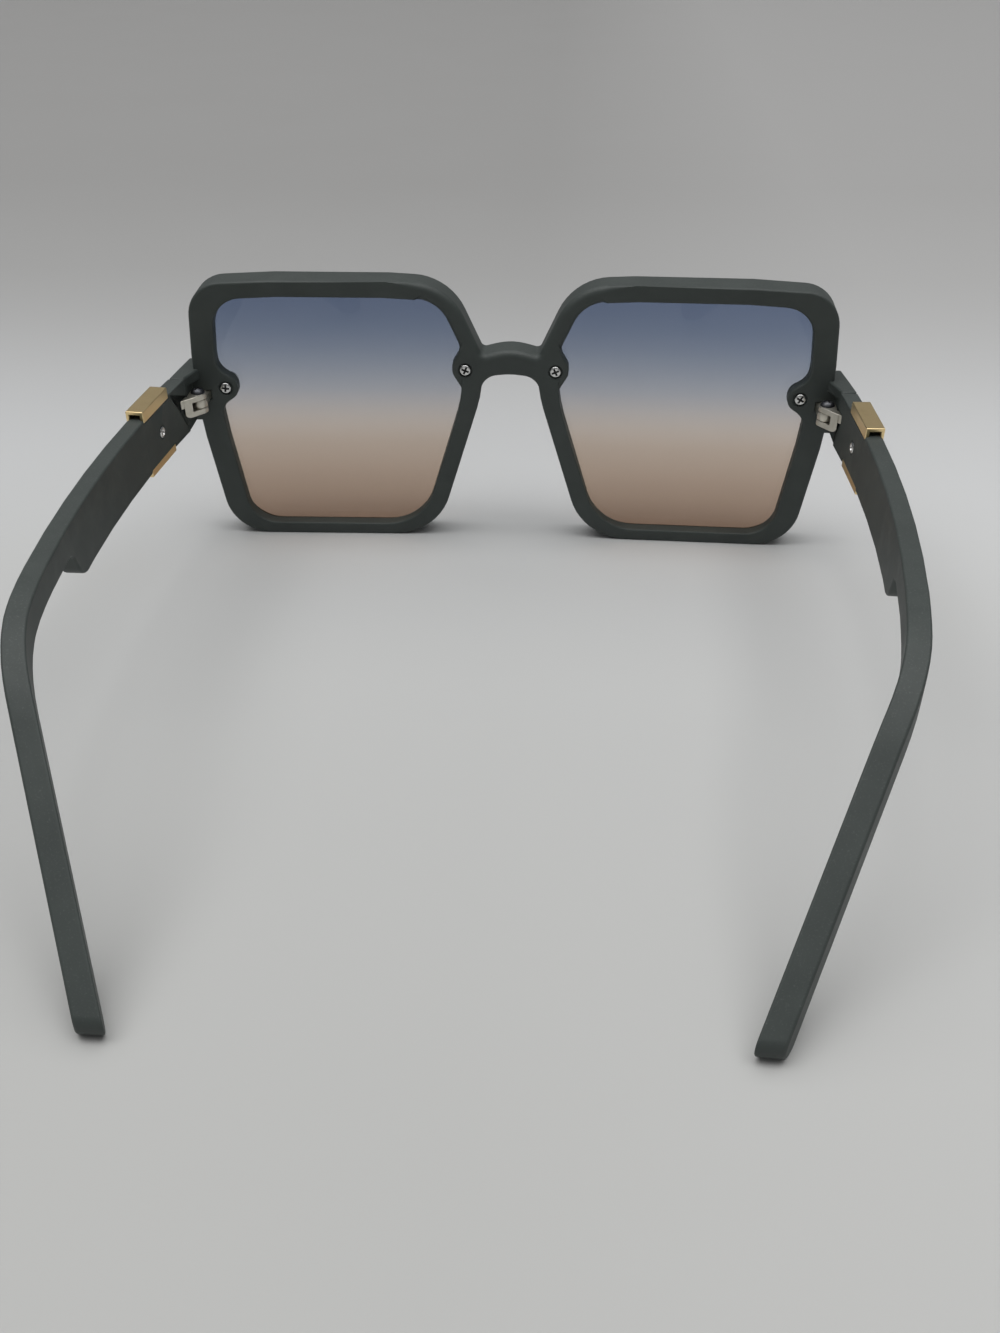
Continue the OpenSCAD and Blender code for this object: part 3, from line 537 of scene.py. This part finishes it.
# %% [markdown]
# ## Lenses
#
# A lens is cut from sheet with a tab for its inner screw, and its rim is ground by a wheel that leaves a
# small slope. The cut shape is measured, so the lens needs only that slope. It is what catches the light
# along the lens's edge and shows that the sheet is thick.

# %% Lenses
GROUND_RIM = (0.15, 2)

for side in ("left", "right"):
    bm = merged_copy(side + "_lens")
    soften(bm, sharp_edges(bm), *GROUND_RIM)
    finish_piece(side + "_tinted_lens", bm, "front", "lens_tint", side + "_lens", tinted)

# %% [markdown]
# ## Metals
#
# The clasps are brass sheet with a satin gold plating, the hinges are cast and nickel plated, the lens
# screws are bright steel, and the hinge screws are blackened. All are one recipe with other values: two
# close colours that marks mix, and a roughness that follows the lines from polishing. So a function makes
# each metal. A number below 1 along an axis draws the lines out that way, which is how the piece was rubbed.

# %% Metals
ALONG_Y, ALONG_Z, FAR_ALONG_Z = (1.0, 0.08, 1.0), (1.0, 1.0, 0.3), (1.0, 1.0, 0.2)
ALL_WAYS = (1.0, 1.0, 1.0)


def metal(name, low, high, rough, line_mm, stretch, metallic=1.0):
    material, tree, shader = new_material(name)
    lines = use_group(tree, "polish_lines", Line_mm=line_mm, Stretch=stretch)
    marks = use_group(tree, "hand_marks", Mark_mm=2.5, Cover=0.48)
    tree.links.new(blend(tree, marks["Marks"], low, high), shader.inputs["Base Color"])
    tree.links.new(spread(tree, lines["Lines"], *rough), shader.inputs["Roughness"])
    bumped(tree, shader, lines["Lines"], strength=0.1, distance=0.002)
    shader.inputs["Metallic"].default_value = metallic
    return material


gold = metal("satin_gold", (0.95, 0.74, 0.40), (0.90, 0.69, 0.36), (0.28, 0.36), 0.12, ALONG_Y)
nickel = metal("satin_nickel", (0.68, 0.65, 0.57), (0.60, 0.57, 0.49), (0.30, 0.46), 0.3, ALONG_Z)
steel = metal("bright_steel", (0.74, 0.74, 0.73), (0.66, 0.66, 0.65), (0.18, 0.30), 0.25, FAR_ALONG_Z)
black = metal("blackened_steel", (0.09, 0.092, 0.10), (0.15, 0.15, 0.155), (0.36, 0.5), 0.3, ALL_WAYS)
# Painted shade: a near-black dull metal for the faces inside a cross or a slot, in place of the shade that
# falls there.
recess_shade = metal("painted_recess_shade", (0.03, 0.03, 0.03), (0.05, 0.05, 0.05), (0.5, 0.7), 0.2, ALL_WAYS,
               metallic=0.3)
print("metals:", [made.name for made in (gold, nickel, steel, black, recess_shade)])

# %% [markdown]
# ## Clasps and hinges
#
# A clasp is bent from sheet, so its edges are only a little softened. The hinge block is cast: its free lower
# corner beside the temple has a large radius and everything else a small one. The knuckle on the front's
# arm is cast as well. The right temple rests turned in a little, so places on a temple are measured from
# its own hinge, and that is how the corner is found on both sides with one pair of numbers.

# %% Clasps and hinges
HINGE_X, HINGE_Y, RIGHT_TURN = 69.8, -67.0, math.radians(3.4)
CORNER_X, CORNER_Z, CORNER_WITHIN = 1.9, 33.25, 0.05
SHEET_ROUND, CORNER_ROUND, CAST_ROUND = (0.2, 3), (1.2, 6), (0.12, 2)


def block_corner(side):
    def found(p):
        place = Vector((abs(p.x) - HINGE_X, p.y - HINGE_Y))
        if side == "right":
            place = Matrix.Rotation(-RIGHT_TURN, 2) @ place
        return abs(place.x - CORNER_X) < CORNER_WITHIN and abs(p.z - CORNER_Z) < CORNER_WITHIN
    return found


for side in ("left", "right"):
    arm = side + "_temple"
    bm = merged_copy(side + "_clasp")
    soften(bm, sharp_edges(bm), *SHEET_ROUND)
    finish_piece(side + "_folded_clasp", bm, arm, "clasp_gold", side + "_clasp", gold)
    bm = merged_copy(side + "_temple_hinge")
    corner = sharp_edges(bm, block_corner(side))
    soften(bm, corner, *CORNER_ROUND)
    soften(bm, sharp_edges(bm), *CAST_ROUND)
    print(side, "block:", len(corner), "corner edges")
    finish_piece(side + "_hinge_block", bm, arm, "hinge_nickel", side + "_temple_hinge", nickel)
    bm = merged_copy(side + "_front_hinge")
    soften(bm, sharp_edges(bm), *CAST_ROUND)
    finish_piece(side + "_hinge_knuckle", bm, "front", "hinge_nickel", side + "_front_hinge", nickel)

# %% [markdown]
# ## Turned pieces
#
# Screws, nuts and pins are turned on a lathe. A cylinder with a sphere on it would miss the small flats and
# rounds of a real head. So each piece is a profile, which is a list of radius and height in millimetres,
# spun a full turn round its axis. Its seam and its poles are merged, and its faces are made to point
# outwards, because a spin can leave them turned inside out.

# %% Turned pieces
TURN_STEPS, SEAM_WITHIN = 40, 0.001


def turned(profile, at, axis):
    bm = bmesh.new()
    aside = axis.orthogonal().normalized()
    ring = [bm.verts.new(at + (aside * r + axis * h) * MM) for r, h in profile]
    edges = [bm.edges.new(pair) for pair in zip(ring, ring[1:])]
    bmesh.ops.spin(bm, geom=ring + edges, cent=at, axis=axis, angle=math.tau, steps=TURN_STEPS,
                   use_merge=True, use_duplicate=False)
    bmesh.ops.remove_doubles(bm, verts=bm.verts, dist=SEAM_WITHIN * MM)
    bmesh.ops.recalc_face_normals(bm, faces=bm.faces)
    return bm


# %% [markdown]
# ## Pressed recesses
#
# The cross in a screw's head is pressed in with a punch. A Boolean could cut it, but it often leaves thin
# faces. Here four cuts over the head's top mark the cross out, and the faces inside it are pushed down and
# drawn together, which gives the tapered walls that fit a driver's tip. With one arm instead of two it is
# a plain slot. Its faces take the second material, a near-black that paints the shade that falls inside it.

# %% Pressed recesses
DRAWN_IN, LOOKS_UP = 0.7, 0.5


def press(bm, at, axis, reach, width, depth, turn, arms=2):
    first = Matrix.Rotation(math.radians(turn), 3, axis) @ axis.orthogonal().normalized()
    across = [first, axis.cross(first)][:arms]

    def top_faces():
        for face in bm.faces:
            place = face.calc_center_median() - at
            flat = place - axis * place.dot(axis)
            if face.normal.dot(axis) > LOOKS_UP and flat.length < reach * MM:
                yield face, min(abs(flat.dot(way)) for way in across)

    for way in across:
        for half in (-0.5, 0.5):
            faces = [face for face, aside in top_faces()]
            parts = set(faces) | {e for f in faces for e in f.edges} | {v for f in faces for v in f.verts}
            bmesh.ops.bisect_plane(bm, geom=list(parts), plane_co=at + way * half * width * MM, plane_no=way)
    inside = [face for face, aside in top_faces() if aside < width * MM / 2]
    parts = set(inside) | {edge for face in inside for edge in face.edges}
    pushed = bmesh.ops.extrude_face_region(bm, geom=list(parts))["geom"]
    for vert in [part for part in pushed if isinstance(part, bmesh.types.BMVert)]:
        place = vert.co - at
        high = axis * place.dot(axis)
        vert.co = at + (place - high) * DRAWN_IN + high - axis * depth * MM
        # The faces inside the cross take material 1, which paints the shade in the hollow.
        for face in vert.link_faces:
            face.material_index = 1
    bmesh.ops.recalc_face_normals(bm, faces=bm.faces)
    return len(inside)


# %% [markdown]
# ## Lens screws and nuts
#
# Four screws with flat domed heads hold the lenses, and each runs into a slotted nut on the front. The
# heads lie on the wearer's side and follow the turn of their half of the front, so a screw's axis is that
# half's own. A screw stops wherever it grips, so each cross stands at its own angle. On a row of screws
# that all stand alike, the eye sees at once that they were copied.

# %% Lens screws and nuts
SCREW = [(0, -5.6), (0.45, -5.6), (0.68, -5.35), (0.68, -0.02), (1.15, 0), (1.23, 0.08), (1.23, 0.4),
         (1.19, 0.53), (1.08, 0.64), (0.94, 0.69), (0.88, 0.7), (0.6, 0.73), (0.3, 0.745), (0, 0.75)]
NUT = [(0, 1.0), (0.75, 1.0), (0.75, 0), (1.8, 0), (1.9, 0.1), (1.9, 0.75), (1.84, 0.9), (1.66, 1.06),
       (1.4, 1.18), (1.1, 1.25), (0.6, 1.29), (0, 1.3)]
HEAD_DEPTH, NUT_DEPTH = 0.5, 5.2
CROSS = {"reach": 0.88, "width": 0.46, "depth": 0.45}
SLOT = {"reach": 1.1, "width": 0.4, "depth": 0.3, "arms": 1}
TURNS = {("left", "inner"): 24, ("left", "outer"): 38, ("right", "inner"): -20, ("right", "outer"): 17}


def on_front(x, depth, z, way):
    across = x * math.cos(WRAP) + depth * math.sin(WRAP)
    return Vector((way * across, REAR_Y + x * math.sin(WRAP) - depth * math.cos(WRAP), z)) * MM


for (side, name), turn in TURNS.items():
    way = 1 if side == "left" else -1
    back = Vector((-way * math.sin(WRAP), math.cos(WRAP), 0))
    x, z = SCREWS[name]
    node = f"{side}_{name}_lens_"
    head, foot = on_front(x, HEAD_DEPTH, z, way), on_front(x, NUT_DEPTH, z, way)
    bm = turned(SCREW, head, back)
    count = press(bm, head, back, turn=turn, **CROSS)
    print(node + "screw: cross of", count, "faces")
    finish_piece(f"{side}_{name}_cross_screw", bm, "front", "screw_steel", node + "screw", steel, recess_shade)
    bm = turned(NUT, foot, -back)
    press(bm, foot, -back, turn=turn, **SLOT)
    finish_piece(f"{side}_{name}_domed_nut", bm, "front", "screw_steel", node + "nut", steel, recess_shade)

# %% [markdown]
# ## Hinge screws and clasp pins
#
# The hinge screw has a high dark dome and stands upright in its block, so it turns with the temple. The
# clasp's pin is hollow at its end and rolled outwards, which leaves a ring with a pit in it. Both are
# turned as the lens screws are. A pin's axis is square to the temple's inner face. The temples slant, and
# the right one rests turned in, so each pin has a place and a direction of its own.

# %% Hinge screws and clasp pins
DOME = [(0, -4.5), (0.8, -4.5), (0.88, -4.4), (0.88, 0), (1.52, 0), (1.58, 0.05), (1.52, 0.22), (1.4, 0.43),
        (1.24, 0.62), (1.08, 0.76), (0.9, 0.88), (0.7, 0.98), (0.48, 1.05), (0.25, 1.09), (0, 1.1)]
PIN = [(0, -3.0), (0.62, -3.0), (0.68, -2.9), (0.68, -0.1), (1.14, -0.1), (1.19, -0.05), (1.18, 0.08),
       (1.08, 0.2), (0.92, 0.28), (0.8, 0.295), (0.7, 0.25), (0.62, 0.1), (0.58, -0.3), (0, -0.32)]
BLOCK_TOP = 37.75
DOME_CROSS = {"reach": 0.95, "width": 0.42, "depth": 0.5}
DOME_TURN = 30
PINS = {"left": ((73.645, -50.629, 35.5), (-0.9948, 0.1018, 0)),
        "right": ((-72.667, -50.430, 35.5), (0.9991, 0.0426, 0))}

for side, way in (("left", 1), ("right", -1)):
    arm = side + "_temple"
    at = Vector((way * HINGE_X, HINGE_Y, BLOCK_TOP)) * MM
    up = Vector((0, 0, 1))
    bm = turned(DOME, at, up)
    press(bm, at, up, turn=DOME_TURN * way, **DOME_CROSS)
    finish_piece(side + "_domed_screw", bm, arm, "dark_screw", side + "_hinge_screw", black, recess_shade)
    head_at, head_way = PINS[side]
    bm = turned(PIN, Vector(head_at) * MM, Vector(head_way).normalized())
    finish_piece(side + "_hollow_pin", bm, arm, "screw_steel", side + "_clasp_pin", steel)
